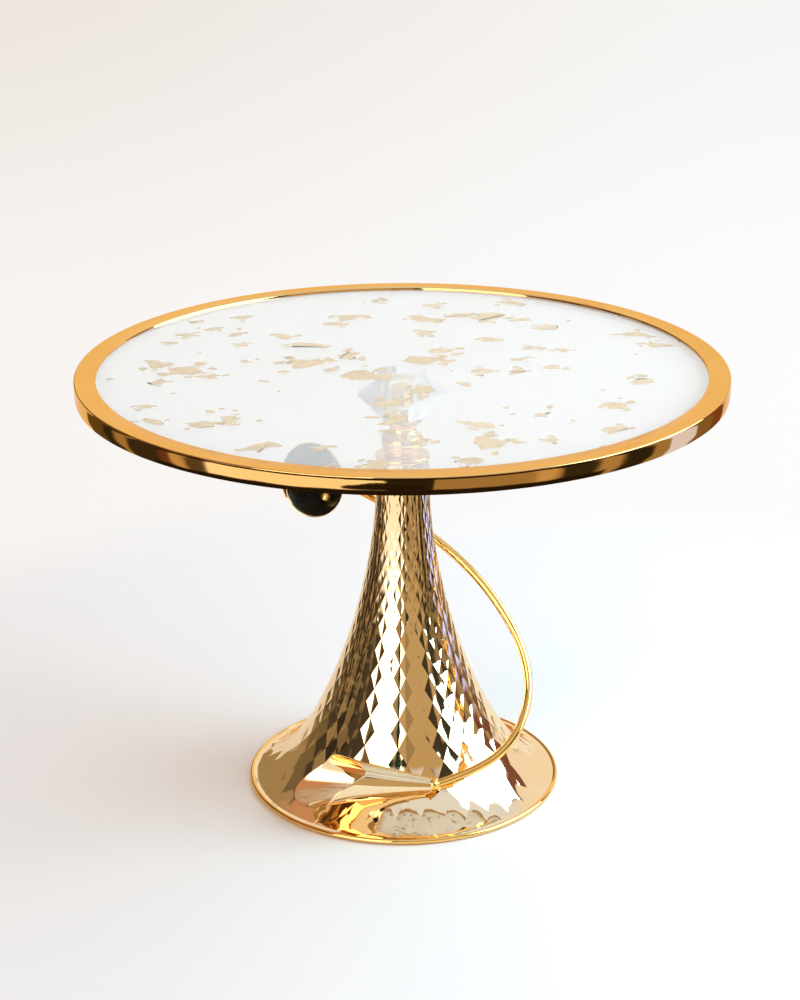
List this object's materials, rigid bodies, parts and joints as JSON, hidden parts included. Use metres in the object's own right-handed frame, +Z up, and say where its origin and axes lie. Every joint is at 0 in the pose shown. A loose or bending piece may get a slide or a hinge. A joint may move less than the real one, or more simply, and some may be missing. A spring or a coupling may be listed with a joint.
{
  "type": "cake stand",
  "caption": "Round pedestal cake stand: gold-leaf glass plate in a metal rim on a faceted crystal and a hammered trumpet foot, with a wire stem and two rolled flowers.",
  "frame": {"origin": "the middle of the base, on the table", "axes": "+Z up the stand's axis; -Y is the front, where the lower flower lies; the stem curves out towards +X"},
  "size_m": [0.3, 0.3, 0.207],
  "materials": {
    "gold_plate": "polished gold electroplate",
    "hammered_gold": "hammered sheet, polished gold electroplate",
    "clear_glass": "clear float glass, polished",
    "leaf_film": "clear film with flakes of pale gold leaf",
    "crystal_glass": "faceted and polished crystal",
    "clear_adhesive": "clear cured adhesive",
    "soft_washer": "translucent soft plastic",
    "zinc_steel": "zinc plated steel",
    "pad_felt": "dense black felt"
  },
  "bodies": {
    "base": {"pedestal": "hammered_gold", "base_edge_wire": "gold_plate", "base_pad": "pad_felt", "pedestal_cap": "gold_plate", "neck_plug": "zinc_steel", "lock_washer": "zinc_steel", "stud_nut": "zinc_steel", "threaded_stud": "zinc_steel", "stem_rod": "gold_plate", "upper_flower": "gold_plate", "upper_spadix": "gold_plate", "lower_flower": "gold_plate", "lower_knot": "gold_plate", "neck_dab": "gold_plate"},
    "lift": {"turn_washer": "soft_washer"},
    "top": {"turned_spool": "gold_plate", "crystal_cup": "gold_plate", "crystal_seat": "soft_washer", "threaded_sleeve": "gold_plate", "crystal": "crystal_glass", "bond_disc": "clear_adhesive", "back_pane": "clear_glass", "gold_leaf_film": "leaf_film", "top_pane": "clear_glass", "rim_ring": "gold_plate", "rim_sealant": "clear_adhesive"}
  },
  "joints": [
    {"name": "top_lift", "type": "slide", "parent": "base", "child": "lift", "axis": [0, 0, 1], "range_m": [0, 0.01]},
    {"name": "top_turn", "type": "hinge", "parent": "lift", "child": "top", "pos_m": [0, 0, 0.175], "axis": [0, 0, 1], "range_deg": [0, 3600]}
  ],
  "couplings": [
    {"joint": "top_lift", "follows": "top_turn", "m_per_rad": 0.00015915}
  ]
}
